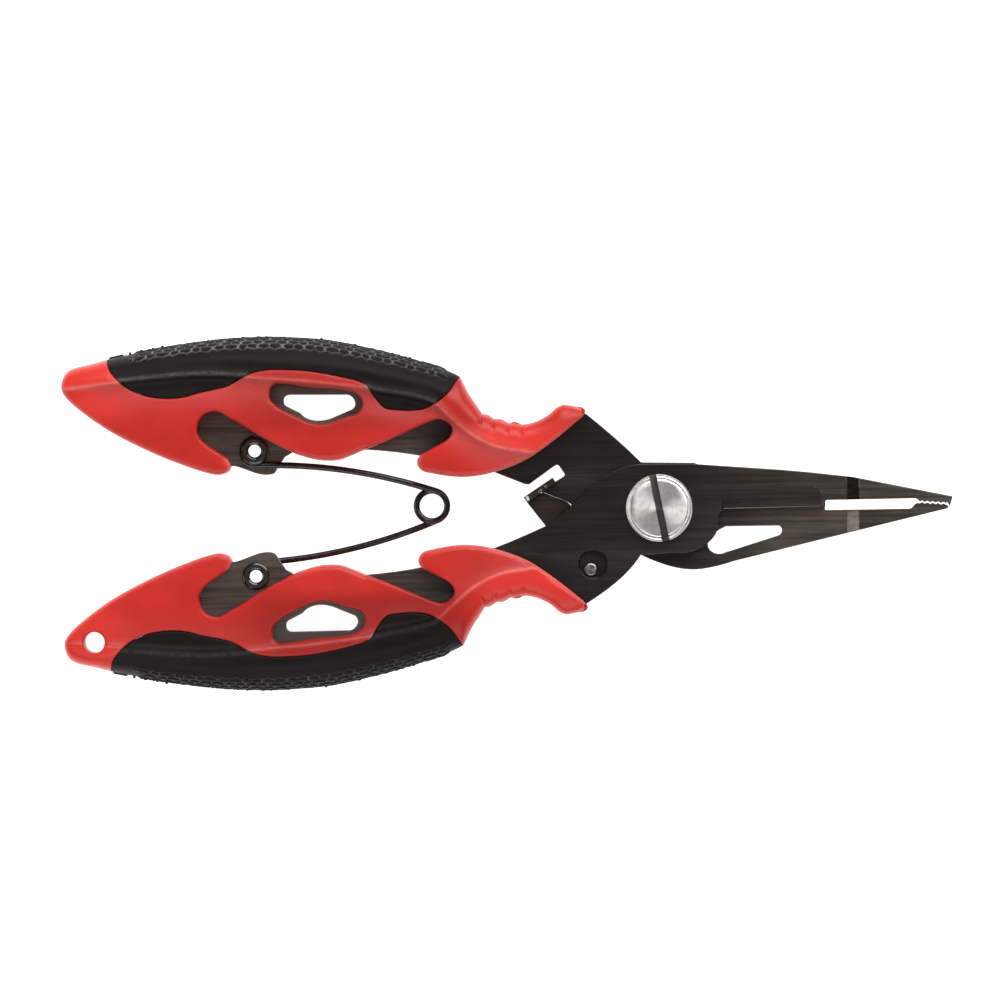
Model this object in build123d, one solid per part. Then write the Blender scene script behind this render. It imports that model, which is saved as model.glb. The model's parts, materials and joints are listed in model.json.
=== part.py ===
from build123d import *
import math
import os

# Fishing pliers, closed and locked, lying on the flat back of their handles. Millimetres.
# The outlines are drawn about the pivot: +X to the jaw tips, +Y to the upper handle, +Z out of the front.
# place() then moves each piece so that the origin is under the middle of the whole object.

# Steel plates: the front arm is the lower handle and upper jaw, the back arm the upper handle and lower jaw
PLATE = 2.2
PLATE_GAP = 0.05
JOGGLE_START = 26.05
JOGGLE_END = 27.85
JOGGLE = (PLATE + PLATE_GAP) / 2

# Handles
HANDLE_THICK = 10.0
LANYARD_AT = (-79.8, -17.8)
LANYARD_R = 1.5

# Jaw tips
TOOTH_HALF_DEPTH = 0.1
TOOTH_COUNT = 5
TOOTH_ROOT = (36.35, 0.43)
TOOTH_TIP = (40.1, 0.16)
TOOTH_GAP = 0.24

# The cutter's ground face, which slopes down to the upper blade's edge
GRIND_TOP = 2.9
GRIND_TILT = 6.0

# Pivot
PIVOT_AT = (-0.3, 0.05)
SHANK_R = 2.5
HEAD_R = 4.75
HEAD_FACE_R = 4.1
HEAD_HIGH = 1.3
HEAD_BEVEL_DROP = 0.45
SLOT_WIDE = 1.0
SLOT_DEEP = 0.7
SLOT_TILT = 101
WASHER_R = 4.4
WASHER_THICK = 0.4
NUT_FLATS = 7.0
NUT_THICK = 1.8

# Lock
RIVET_AT = (-10.0, -8.45)
RIVET_R = 0.75
RIVET_DOME_R = 0.95
RIVET_DOME_HIGH = 0.4
RIVET_DOME_ROUND = 0.3
RIVET_BACK_R = 1.5
RIVET_BACK_HIGH = 0.55
RECESS_AT = (-9.65, -7.7)
RECESS_R = 2.0
RECESS_DEEP = 0.7
LEVER_THICK = 1.0
LEVER_HUB_R = 2.4
LOCK_WASHER_R = 1.9
TAB_START = (-19.3, 1.8)
TAB_END = (-15.2, 4.5)
TAB_THICK = 1.0
TAB_LIFT = 0.05
TAB_TOP = 2.2
TAB_CLEAR_OF_TOOTH = 2.35
TAB_SERRATIONS = 8
SERRATION_R = 0.15

# Return spring
WIRE_R = 0.45
COIL_AT = (-32.2, 0.75)
COIL_R = 2.15
SPRING_Z = 0.63
LEG_BOW_R = 75.0
LOOP_R = 1.9
LOOP_TURN = 165
COIL_HALF_TURN = 245
LOOP_OFFSET = (0.20, -0.13)

# Eyelets
EYELET_AT = (-57.0, 8.8)
LOWER_EYELET_AT = (EYELET_AT[0], -EYELET_AT[1])
EYELET_BORE_R = 0.88
EYELET_BARREL_R = 1.0
EYELET_FLANGE_R = 1.95
EYELET_FLANGE_THICK = 0.35
EYELET_PLAY = 0.08

# The origin's place: under the middle of the overall length, on the plane of the handles' backs
TAIL_X = -84.1
TIP_X = 41.0
MOVE_X = -(TAIL_X + TIP_X) / 2
MOVE_Z = HANDLE_THICK / 2

# Heights of the two plates' undersides, and fits: between fixed pieces, and round what turns
FRONT_Z = PLATE_GAP / 2
BACK_Z = -PLATE_GAP / 2 - PLATE
HAIR = 0.02
RUNNING = 0.05

# Cutters reach this far either side of the plates, or of the whole object
DEEP = 9.0
FAR = 100.0


def outline(start, *runs):
    """A closed face. Each run is ("line" or "curve", then its points) and goes on from the one before."""
    edges = []
    here = start
    for kind, *points in runs:
        if kind == "curve":
            edges.append(Spline([here] + points))
        else:
            edges.append(Polyline([here] + points))
        here = points[-1]
    if math.dist(here, start) > 1e-6:
        edges.append(Line(here, start))
    return make_face(Curve() + edges)


def mirrored(face):
    """The same face for the lower handle."""
    return mirror(face, about=Plane.XZ)


def slab(face, low, high):
    """A face made into a plate between two heights."""
    return Pos(0, 0, low) * extrude(face, amount=high - low, dir=(0, 0, 1))


def disc(centre, radius, low, high):
    """A round slab."""
    return Pos(centre[0], centre[1], (low + high) / 2) * Cylinder(radius, high - low)


def tooth_line(shift):
    """The zigzag where the two jaw tips mesh, from the tip back to the root, raised by shift."""
    points = []
    steps = 2 * TOOTH_COUNT
    for step in range(steps + 1):
        along = step / steps
        x = TOOTH_TIP[0] + along * (TOOTH_ROOT[0] - TOOTH_TIP[0])
        y = TOOTH_TIP[1] + along * (TOOTH_ROOT[1] - TOOTH_TIP[1])
        zig = TOOTH_HALF_DEPTH if step % 2 else -TOOTH_HALF_DEPTH
        points.append((x, y + zig + shift))
    return points


# Handle outlines, drawn for the upper handle ---------------------------------------------------------

def handle_face():
    """The silhouette of the plastic and rubber handle."""
    return outline(
        (-84.05, 18.2),
        ("curve", (-82.8, 16.0), (-77.9, 12.2), (-70.0, 8.2), (-65.0, 6.25), (-62.0, 5.55)),
        ("curve", (-60.5, 6.4), (-61.7, 8.3)),
        ("curve", (-64.3, 10.4), (-64.9, 12.6), (-62.6, 14.4), (-60.3, 13.4)),
        ("line", (-50.9, 8.15)),
        ("curve", (-48.6, 7.5), (-45.1, 7.45), (-41.7, 8.7)),
        ("line", (-32.0, 12.7)),
        ("curve", (-30.2, 12.7), (-29.4, 10.8), (-33.7, 7.9)),
        ("curve", (-34.0, 6.2), (-32.0, 5.3), (-27.7, 4.75), (-23.4, 5.4), (-18.3, 7.4), (-10.9, 13.0)),
        ("curve", (-10.5, 13.9), (-11.6, 14.65), (-13.7, 14.75)),
        ("curve", (-15.7, 13.2), (-19.1, 12.0)),
        ("curve", (-21.2, 12.3), (-25.1, 13.7)),
        ("curve", (-25.9, 15.2), (-27.4, 17.4), (-28.0, 18.9)),
        ("curve", (-33.7, 21.0), (-46.3, 24.05), (-55.0, 24.7), (-63.0, 24.35), (-72.0, 23.1), (-77.5, 21.9)),
        ("line", (-82.0, 20.8)),
        ("curve", (-83.6, 19.8), (-84.05, 18.2)),
    )


def grip_region():
    """Everything on the outer side of the line where the rubber meets the hard plastic."""
    return outline(
        (-77.6, 26.0),
        ("line", (-77.6, 21.6)),
        ("curve", (-75.8, 18.6), (-71.7, 16.5), (-66.9, 16.4), (-60.8, 17.8), (-55.0, 20.1),
         (-46.3, 19.4), (-41.0, 17.5)),
        ("curve", (-39.3, 15.1), (-35.1, 14.15), (-31.4, 15.2), (-28.0, 18.85)),
        ("line", (-27.0, 19.5), (-27.0, 26.0)),
    )


def window_face():
    """The opening through the plastic."""
    return outline(
        (-54.8, 16.7),
        ("curve", (-54.0, 18.1), (-49.1, 17.6), (-42.9, 16.8), (-41.7, 15.0), (-44.3, 13.3),
         (-48.0, 12.4), (-51.7, 13.85), (-54.8, 16.7)),
    )


def plate_hole_face():
    """The smaller hole through the steel, seen inside the window."""
    return outline(
        (-52.85, 15.7),
        ("curve", (-52.7, 16.35), (-52.1, 16.65)),
        ("line", (-44.3, 16.55)),
        ("curve", (-43.2, 16.2), (-42.8, 15.4), (-43.2, 14.5)),
        ("line", (-45.6, 13.5)),
        ("curve", (-47.2, 13.0), (-49.1, 13.1), (-50.6, 14.1)),
        ("line", (-52.4, 15.0)),
        ("curve", (-52.75, 15.3), (-52.85, 15.7)),
    )


# Both plates follow the same line through their handles, from the throat round the tail to the boss
PLATE_IN_HANDLE = (
    ("line", (-33.0, 7.7)),
    ("curve", (-38.3, 8.5), (-41.7, 8.8)),
    ("line", (-50.5, 9.2)),
    ("line", (-52.8, 7.9), (-54.1, 5.9)),
    ("curve", (-54.3, 5.65), (-54.9, 5.45), (-57.0, 5.7), (-60.4, 6.75)),
    ("line", (-70.0, 11.2)),
    ("curve", (-74.6, 14.6), (-72.5, 17.4)),
    ("line", (-64.0, 18.6), (-55.0, 18.9), (-42.0, 17.2), (-33.0, 13.9), (-25.0, 12.3)),
)


def flip(runs):
    """The same runs with Y turned over."""
    return tuple((kind, *[(x, -y) for x, y in points]) for kind, *points in runs)


def reversed_runs(runs, first, last):
    """Runs walked the other way, from the point that ended them to the one given last."""
    starts = [last] + [points[-1] for kind, *points in runs]
    backwards = []
    for (kind, *points), start in reversed(list(zip(runs, starts))):
        walk = [start] + points
        walk.reverse()
        backwards.append((kind, *walk[1:]))
    return tuple(backwards)


# Steel arms -----------------------------------------------------------------------------------------

def joggled(face, low, lean):
    """An arm's plate: flat at the pivot, then stepped towards the other arm's layer at the jaw tips."""
    step = lean * JOGGLE
    side = Plane.XZ * outline(
        (-FAR, low),
        ("line", (JOGGLE_START, low), (JOGGLE_END, low + step), (FAR, low + step),
         (FAR, low + step + PLATE), (JOGGLE_END, low + step + PLATE), (JOGGLE_START, low + PLATE),
         (-FAR, low + PLATE)),
    )
    profile = extrude(side, amount=FAR, both=True)
    return slab(face, -2 * PLATE, 2 * PLATE) & profile


def bored(plate, centre, radius):
    """A plate with a round hole right through it."""
    return plate - disc(centre, radius, -DEEP, DEEP)


def blade_grind():
    """What is ground off the front of the upper blade, from the boss to the round end short of the slot."""
    face = outline(
        (8.6, -1.5),
        ("line", (21.0, -1.5)),
        ("curve", (22.5, 0.0), (22.3, 1.9), (21.2, GRIND_TOP)),
        ("line", (8.6, GRIND_TOP)),
    )
    hinge_line = Pos(0, GRIND_TOP, FRONT_Z + PLATE)
    return hinge_line * Rot(GRIND_TILT, 0, 0) * Pos(0, -GRIND_TOP, 0) * slab(face, 0, PLATE)


def front_arm():
    face = outline(
        (27.1, 4.05),
        ("line", (41.0, 1.17), (40.6, -0.15), (40.5, -0.15)),
        ("curve", (40.4, 0.2), (40.1, 0.38)),
        ("line", *tooth_line(TOOTH_GAP / 2)),
        ("curve", (36.1, 0.78), (35.5, 0.93)),
        ("line", (23.3, 0.85)),
        ("curve", (23.1, 0.75), (23.05, 0.5)),
        ("line", (23.05, -0.05), (8.9, -0.2)),
        ("curve", (8.1, -1.1), (7.9, -2.9), (6.3, -5.1), (2.3, -6.25)),
        ("line", (-2.95, -6.5)),
        ("curve", (-5.4, -9.4), (-8.2, -11.65), (-11.1, -13.55)),
        ("line", (-18.0, -12.0), (-25.0, -12.3)),
        *flip(reversed_runs(PLATE_IN_HANDLE, (-25.0, 12.3), (-24.0, 5.45))),
        ("curve", (-20.0, -3.9), (-16.3, -2.3)),
        ("curve", (-12.7, 0.5), (-10.3, 2.85), (-7.0, 5.1), (-2.95, 6.25)),
        ("line", (4.3, 6.2)),
        ("curve", (10.0, 5.8), (20.0, 4.9), (27.1, 4.05)),
    )
    face -= mirrored(plate_hole_face())
    plate = joggled(face, FRONT_Z, -1)
    plate = bored(plate, PIVOT_AT, SHANK_R + RUNNING)
    plate = bored(plate, RIVET_AT, RIVET_R + HAIR)
    plate = bored(plate, LOWER_EYELET_AT, EYELET_BARREL_R + HAIR)
    return plate - disc(RECESS_AT, RECESS_R, FRONT_Z + PLATE - RECESS_DEEP, DEEP) - blade_grind()


def jaw_window_face():
    """The opening through the lower jaw."""
    return outline(
        (6.5, -5.2),
        ("curve", (7.05, -4.05), (8.1, -3.15), (9.1, -2.65)),
        ("line", (16.3, -2.65)),
        ("curve", (16.95, -3.0), (16.95, -3.6), (16.4, -4.05)),
        ("line", (9.2, -6.25)),
        ("curve", (8.0, -6.5), (7.1, -6.2), (6.5, -5.2)),
    )


def back_arm():
    face = outline(
        (40.3, -0.45),
        ("line", (40.2, -0.55), (27.9, -3.4), (10.0, -7.6)),
        ("curve", (7.0, -8.4), (4.0, -8.65), (0.2, -7.85), (-2.95, -6.5), (-8.0, -3.2), (-13.1, 1.1)),
        ("line", (-16.65, 2.5), (-14.85, 3.9), (-13.7, 4.6)),
        ("curve", (-13.5, 4.8), (-13.5, 5.05)),
        ("line", (-14.2, 6.1)),
        ("curve", (-14.45, 6.3), (-14.85, 6.2)),
        ("line", (-18.5, 3.6), (-19.1, 3.65), (-23.4, 5.4)),
        *PLATE_IN_HANDLE,
        ("line", (-18.0, 11.6), (-11.6, 13.7), (-10.3, 13.4)),
        ("curve", (-6.9, 10.5), (-4.3, 8.1), (-2.7, 6.5)),
        ("line", (4.7, 6.35)),
        ("curve", (7.4, 4.6), (8.7, 2.4), (9.0, 0.5)),
        ("line", (23.05, 0.5), (23.05, -0.35)),
        ("curve", (23.1, -0.5), (23.3, -0.55)),
        ("line", (35.0, -0.5)),
        ("curve", (35.35, -0.3), (35.7, 0.1), (36.1, 0.28)),
        ("line", *reversed(tooth_line(-TOOTH_GAP / 2))),
        ("curve", (40.25, -0.1), (40.3, -0.45)),
    )
    face -= plate_hole_face()
    face -= jaw_window_face()
    plate = joggled(face, BACK_Z, 1)
    plate = bored(plate, PIVOT_AT, SHANK_R + RUNNING)
    return bored(plate, EYELET_AT, EYELET_BARREL_R + HAIR)


# Pivot ----------------------------------------------------------------------------------------------

def pivot_screw():
    top = FRONT_Z + PLATE + HAIR
    bottom = BACK_Z - 2 * HAIR - WASHER_THICK - NUT_THICK
    rim = disc(PIVOT_AT, HEAD_R, top, top + HEAD_HIGH)
    head = chamfer(rim.faces().sort_by(Axis.Z)[-1].edges(), HEAD_BEVEL_DROP, HEAD_R - HEAD_FACE_R)
    slot = Pos(*PIVOT_AT, top + HEAD_HIGH) * Rot(0, 0, SLOT_TILT) * Box(3 * HEAD_R, SLOT_WIDE, 2 * SLOT_DEEP)
    return head + disc(PIVOT_AT, SHANK_R, bottom, top) - slot


def pivot_washer():
    top = BACK_Z - HAIR
    return bored(disc(PIVOT_AT, WASHER_R, top - WASHER_THICK, top), PIVOT_AT, SHANK_R + HAIR)


def pivot_nut():
    top = BACK_Z - 2 * HAIR - WASHER_THICK
    blank = slab(Pos(*PIVOT_AT) * RegularPolygon(NUT_FLATS / 2, 6, major_radius=False), top - NUT_THICK, top)
    return bored(blank, PIVOT_AT, SHANK_R + HAIR)


# Lock -----------------------------------------------------------------------------------------------

def tab_point(along, across):
    """A point on the thumb tab: along it from its free end, and across its thickness."""
    length = math.dist(TAB_START, TAB_END)
    ux = (TAB_END[0] - TAB_START[0]) / length
    uy = (TAB_END[1] - TAB_START[1]) / length
    return (TAB_START[0] + along * ux + across * uy, TAB_START[1] + along * uy - across * ux)


def lock_lever():
    low = -PLATE_GAP - LEVER_THICK
    high = -PLATE_GAP
    length = math.dist(TAB_START, TAB_END)
    body = outline(
        (RIVET_AT[0] - 1.9, RIVET_AT[1] - 1.4),
        ("line", (-16.3, -2.2), tab_point(0, TAB_THICK), tab_point(0, 0), tab_point(TAB_CLEAR_OF_TOOTH, 0),
         tab_point(TAB_CLEAR_OF_TOOTH, TAB_THICK), (-16.72, 2.36), (-13.2, 0.95), (-11.2, -1.1)),
        ("line", (RIVET_AT[0] + 2.3, RIVET_AT[1] + 0.6)),
    )
    lever = slab(body, low, high) + disc(RIVET_AT, LEVER_HUB_R, low, high)
    flange = outline(
        tab_point(0, 0),
        ("line", tab_point(length, 0), tab_point(length, TAB_THICK), tab_point(0, TAB_THICK)),
    )
    lever += slab(flange, TAB_LIFT, TAB_TOP)
    root = outline(
        tab_point(0, 0),
        ("line", tab_point(TAB_CLEAR_OF_TOOTH, 0), tab_point(TAB_CLEAR_OF_TOOTH, TAB_THICK),
         tab_point(0, TAB_THICK)),
    )
    lever += slab(root, low, TAB_TOP)
    pitch = length / TAB_SERRATIONS
    for step in range(TAB_SERRATIONS - 1):
        x, y = tab_point((step + 1) * pitch, TAB_THICK)
        lever -= disc((x, y), SERRATION_R, TAB_LIFT, DEEP)
    return bored(lever, RIVET_AT, RIVET_R + RUNNING)


def lock_rivet():
    floor = FRONT_Z + PLATE - RECESS_DEEP + HAIR
    back = BACK_Z + HAIR
    shank = disc(RIVET_AT, RIVET_R, back, floor)
    dome = disc(RIVET_AT, RIVET_DOME_R, floor, floor + RIVET_DOME_HIGH)
    dome = fillet(dome.faces().sort_by(Axis.Z)[-1].edges(), RIVET_DOME_ROUND)
    return shank + dome + disc(RIVET_AT, RIVET_BACK_R, back, back + RIVET_BACK_HIGH)


def lock_washer():
    high = -PLATE_GAP - LEVER_THICK - RUNNING
    low = BACK_Z + HAIR + RIVET_BACK_HIGH + HAIR
    return bored(disc(RIVET_AT, LOCK_WASHER_R, low, high), RIVET_AT, RIVET_R + HAIR)


# Return spring: one wire from eyelet to eyelet, as two legs that each carry half of the coil ----------

def leg_points(side, loop_at):
    """Where a leg that bows to one radius touches the coil and the loop, and the middle of its bow."""
    cx, cy = COIL_AT
    ex, ey = loop_at
    to_coil = LEG_BOW_R - COIL_R
    to_loop = LEG_BOW_R + LOOP_R
    apart = math.dist(COIL_AT, loop_at)
    along = (to_coil ** 2 - to_loop ** 2 + apart ** 2) / (2 * apart)
    away = math.sqrt(to_coil ** 2 - along ** 2)
    ux, uy = (ex - cx) / apart, (ey - cy) / apart
    bow = (cx + along * ux - side * away * uy, cy + along * uy + side * away * ux)

    def on_bow(target):
        reach = math.dist(bow, target)
        return (bow[0] + (target[0] - bow[0]) * LEG_BOW_R / reach,
                bow[1] + (target[1] - bow[1]) * LEG_BOW_R / reach)

    at_coil = on_bow(COIL_AT)
    at_loop = on_bow(loop_at)
    middle = on_bow(((at_coil[0] + at_loop[0]) / 2, (at_coil[1] + at_loop[1]) / 2))
    return at_coil, middle, at_loop


def turn_about(point, centre, degrees):
    """A point turned about a centre, anticlockwise."""
    a = math.radians(degrees)
    dx, dy = point[0] - centre[0], point[1] - centre[1]
    return (centre[0] + dx * math.cos(a) - dy * math.sin(a), centre[1] + dx * math.sin(a) + dy * math.cos(a))


def spring_leg(side, loop_at):
    """side +1 is the upper leg, -1 the lower. Both start on the coil and end in the eyelet's loop."""
    at_coil, middle, at_loop = leg_points(side, loop_at)
    turns = []
    turns.append(ThreePointArc(turn_about(at_coil, COIL_AT, -side * COIL_HALF_TURN),
                               turn_about(at_coil, COIL_AT, -side * COIL_HALF_TURN / 2), at_coil))
    turns.append(ThreePointArc(at_coil, middle, at_loop))
    turns.append(ThreePointArc(at_loop, turn_about(at_loop, loop_at, -side * LOOP_TURN / 2),
                               turn_about(at_loop, loop_at, -side * LOOP_TURN)))
    wire = None
    for arc in turns:
        piece = sweep(Plane(arc @ 0, z_dir=arc % 0) * Circle(WIRE_R), path=arc)
        wire = piece if wire is None else wire + piece
    return Pos(0, 0, side * SPRING_Z) * wire


def eyelet():
    """The upper handle's eyelet: a flanged tube that holds the spring's loop against the plate."""
    back = BACK_Z - HAIR
    front = SPRING_Z + WIRE_R + EYELET_PLAY
    tube = disc(EYELET_AT, EYELET_BARREL_R, back, front)
    tube += disc(EYELET_AT, EYELET_FLANGE_R, back - EYELET_FLANGE_THICK, back)
    tube += disc(EYELET_AT, EYELET_FLANGE_R, front, front + EYELET_FLANGE_THICK)
    return bored(tube, EYELET_AT, EYELET_BORE_R)


def turned_over(solid):
    """The same piece on the lower handle, facing the other way."""
    return Rot(180, 0, 0) * solid


# Handles --------------------------------------------------------------------------------------------

def handle_blank():
    """The whole handle before it is parted into hard plastic and rubber."""
    half = HANDLE_THICK / 2
    return slab(handle_face() - window_face(), -half, half)


def place(solid, name):
    """Moves a piece into the object's own frame and writes it."""
    placed = Pos(MOVE_X, 0, MOVE_Z) * solid
    pieces = placed.solids()
    shape = pieces[0] if len(pieces) == 1 else Compound(children=list(pieces))
    shape.label = name
    export_step(shape, os.path.join("parts", name + ".step"))


def main():
    os.makedirs("parts", exist_ok=True)
    front = front_arm()
    back = back_arm()
    blank = handle_blank()
    grip_zone = slab(grip_region(), -DEEP, DEEP)
    lower_blank = mirror(blank, about=Plane.XZ)
    lower_zone = mirror(grip_zone, about=Plane.XZ)

    place(front, "front_arm")
    place(back, "back_arm")
    place(blank - grip_zone - back, "upper_handle_shell")
    place((blank & grip_zone) - back, "upper_grip")
    place(bored(lower_blank - lower_zone - front, LANYARD_AT, LANYARD_R), "lower_handle_shell")
    place((lower_blank & lower_zone) - front, "lower_grip")
    place(pivot_screw(), "pivot_screw")
    place(pivot_washer(), "pivot_washer")
    place(pivot_nut(), "pivot_nut")
    place(lock_lever(), "lock_lever")
    place(lock_rivet(), "lock_rivet")
    place(lock_washer(), "lock_washer")
    upper_loop = (EYELET_AT[0] + LOOP_OFFSET[0], EYELET_AT[1] + LOOP_OFFSET[1])
    place(spring_leg(1, upper_loop), "spring_upper_leg")
    place(spring_leg(-1, LOWER_EYELET_AT), "spring_lower_leg")
    place(eyelet(), "upper_eyelet")
    place(turned_over(eyelet()), "lower_eyelet")


main()
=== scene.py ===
import json
import math

import bmesh
import bpy
import numpy as np
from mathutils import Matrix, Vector
from mathutils.geometry import delaunay_2d_cdt


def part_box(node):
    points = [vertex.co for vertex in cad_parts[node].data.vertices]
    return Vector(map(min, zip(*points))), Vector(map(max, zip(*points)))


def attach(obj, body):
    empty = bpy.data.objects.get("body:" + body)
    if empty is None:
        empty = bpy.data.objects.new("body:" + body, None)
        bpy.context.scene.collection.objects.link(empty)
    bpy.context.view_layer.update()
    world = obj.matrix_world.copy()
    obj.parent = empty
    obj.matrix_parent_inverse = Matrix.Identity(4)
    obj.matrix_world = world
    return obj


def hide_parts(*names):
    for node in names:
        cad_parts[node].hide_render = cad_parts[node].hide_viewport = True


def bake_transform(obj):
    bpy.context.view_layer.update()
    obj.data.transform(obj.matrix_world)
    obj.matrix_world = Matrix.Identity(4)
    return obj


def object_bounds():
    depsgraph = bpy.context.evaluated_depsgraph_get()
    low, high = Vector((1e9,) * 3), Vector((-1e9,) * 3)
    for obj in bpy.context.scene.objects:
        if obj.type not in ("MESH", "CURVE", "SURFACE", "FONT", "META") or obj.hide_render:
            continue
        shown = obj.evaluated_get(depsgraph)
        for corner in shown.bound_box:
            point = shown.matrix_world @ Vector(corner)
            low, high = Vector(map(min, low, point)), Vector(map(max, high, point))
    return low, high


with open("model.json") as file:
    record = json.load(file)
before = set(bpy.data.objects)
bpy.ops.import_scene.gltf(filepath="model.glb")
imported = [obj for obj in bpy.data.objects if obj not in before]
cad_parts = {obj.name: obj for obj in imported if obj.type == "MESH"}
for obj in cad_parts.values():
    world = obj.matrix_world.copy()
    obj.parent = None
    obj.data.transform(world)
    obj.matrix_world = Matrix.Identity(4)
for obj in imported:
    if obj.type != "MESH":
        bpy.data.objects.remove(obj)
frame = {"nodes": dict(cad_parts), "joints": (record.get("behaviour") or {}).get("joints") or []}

cad_low, cad_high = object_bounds()

# Shapes are drawn in millimetres about the drawing origin, which lies 0.3 mm beside the pivot screw's axis:
# +X to the jaw tips, +Y to the upper handle, +Z out of the front. metres() puts them in the frame.
MM = 0.001
PIVOT_AT = (-0.3, 0.05)
pivot_joint = next(joint for joint in frame["joints"] if joint["name"] == "arm_pivot")
origin = Vector(pivot_joint["pos_m"]) - Vector((PIVOT_AT[0] * MM, PIVOT_AT[1] * MM, 0))

HALF_THICK = (cad_high.z - cad_low.z) / 2 / MM      # half of the handles' thickness
PLATE_TOP = (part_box("front_arm")[1].z - origin.z) / MM


def metres(points):
    """Drawing millimetres to frame metres."""
    return np.asarray(points, float) * MM + np.array(origin)


# Outlines -------------------------------------------------------------------------------------------

def smooth_run(points, step):
    """A centripetal Catmull-Rom curve through the points, as points about one step apart."""
    p = np.asarray(points, float)
    p = np.vstack([2 * p[0] - p[1], p, 2 * p[-1] - p[-2]])
    out = []
    for a, b, c, d in zip(p[:-3], p[1:-2], p[2:-1], p[3:]):
        t1 = math.sqrt(np.linalg.norm(b - a))
        t2 = t1 + math.sqrt(np.linalg.norm(c - b))
        t3 = t2 + math.sqrt(np.linalg.norm(d - c))
        count = max(2, int(np.linalg.norm(c - b) / step) + 1)
        for t in np.linspace(t1, t2, count, endpoint=False):
            ab = a + (b - a) * t / t1
            bc = b + (c - b) * (t - t1) / (t2 - t1)
            cd = c + (d - c) * (t - t2) / (t3 - t2)
            abc = ab + (bc - ab) * t / t2
            bcd = bc + (cd - bc) * (t - t1) / (t3 - t1)
            out.append(abc + (bcd - abc) * (t - t1) / (t2 - t1))
    return out


def trace(*points, step=0.3):
    """Points along an outline that curves through the given points."""
    return np.array(smooth_run(points, step) + [np.asarray(points[-1], float)])


def circle(centre, radius, count):
    turn = np.linspace(0, 2 * math.pi, count, endpoint=False)
    return np.column_stack([centre[0] + radius * np.cos(turn), centre[1] + radius * np.sin(turn)])


def distance_to(points, line, closed=False):
    """The distance of each point from a polyline."""
    ends = np.roll(line, -1, axis=0) if closed else line[1:]
    starts = line if closed else line[:-1]
    best = np.full(len(points), 1e9)
    for a, b in zip(starts, ends):
        ab = b - a
        t = np.clip((points - a) @ ab / max(ab @ ab, 1e-12), 0, 1)
        gap = points - (a + t[:, None] * ab)
        best = np.minimum(best, np.einsum("ij,ij->i", gap, gap))
    return np.sqrt(best)


def inside(points, ring):
    """Which points lie within a closed ring."""
    x, y = points[:, 0], points[:, 1]
    hit = np.zeros(len(points), bool)
    for a, b in zip(ring, np.roll(ring, -1, axis=0)):
        crosses = (a[1] > y) != (b[1] > y)
        slope = (b[0] - a[0]) / (b[1] - a[1] if abs(b[1] - a[1]) > 1e-12 else 1e-12)
        hit ^= crosses & (x < a[0] + (y - a[1]) * slope)
    return hit


# The upper handle's lines; the lower handle is the same with Y turned over ---------------------------

TAIL_CORNER = (-77.6, 21.9)         # where rubber and plastic meet on the outer edge, at the tail
NOSE = (-28.0, 18.9)                # and at the thumb rest

inner_edge = trace(
    (-84.05, 18.2), (-83.75, 17.2), (-82.7, 15.9), (-77.9, 12.2), (-72.7, 9.35), (-67.9, 7.25),
    (-63.6, 5.75), (-62.0, 5.5), (-60.7, 5.95), (-60.35, 6.7), (-60.8, 7.7),
)
eyelet_bay = trace(
    (-60.8, 7.7), (-61.7, 8.4), (-63.1, 9.3), (-64.3, 10.3), (-65.0, 11.7), (-64.3, 13.7), (-62.5, 14.45),
    (-60.3, 13.4), (-55.3, 10.4), (-50.9, 8.15),
)
hump_edge = trace((-50.9, 8.15), (-48.6, 7.5), (-46.9, 7.3), (-45.1, 7.4), (-43.4, 8.0), (-41.7, 8.7))
throat_bay = trace(
    (-41.7, 8.7), (-37.7, 10.3), (-33.7, 12.0), (-32.0, 12.7), (-30.9, 12.9), (-29.8, 12.4),
    (-29.2, 11.6), (-29.4, 10.6), (-30.3, 9.75), (-32.0, 8.85), (-33.7, 7.9),
)
throat_edge = trace(
    (-33.7, 7.9), (-34.15, 7.2), (-34.1, 6.4), (-33.5, 5.7), (-32.0, 5.3), (-29.7, 4.9), (-27.7, 4.75),
    (-25.4, 4.95), (-23.4, 5.4), (-20.6, 6.3), (-18.3, 7.4), (-14.9, 9.75), (-10.9, 13.0),
)
SCALLOP_ENDS = ((-24.95, 13.55), (-23.25, 12.85), (-21.25, 12.25), (-19.3, 12.0))
SCALLOP_HIGH = 0.28


def thumb_edge():
    """The spur at the front, the thumb rest with its scallops, and the rise to the nose."""
    parts = [trace((-10.9, 13.0), (-10.45, 13.7), (-10.8, 14.25), (-12.0, 14.5), (-13.6, 14.75))]
    parts.append(trace((-13.6, 14.75), (-14.5, 14.35), (-15.7, 13.3), (-17.6, 12.35), (-19.3, 12.0)))
    for right, left in zip(SCALLOP_ENDS[::-1][:-1], SCALLOP_ENDS[::-1][1:]):
        middle = ((right[0] + left[0]) / 2 - 0.15, (right[1] + left[1]) / 2 + SCALLOP_HIGH)
        parts.append(trace(right, middle, left, step=0.15))
    parts.append(trace(SCALLOP_ENDS[0], (-25.5, 14.5), (-26.7, 16.3), (-27.5, 17.9), NOSE))
    return np.vstack([part[:-1] for part in parts] + [parts[-1][-1:]])


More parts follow.
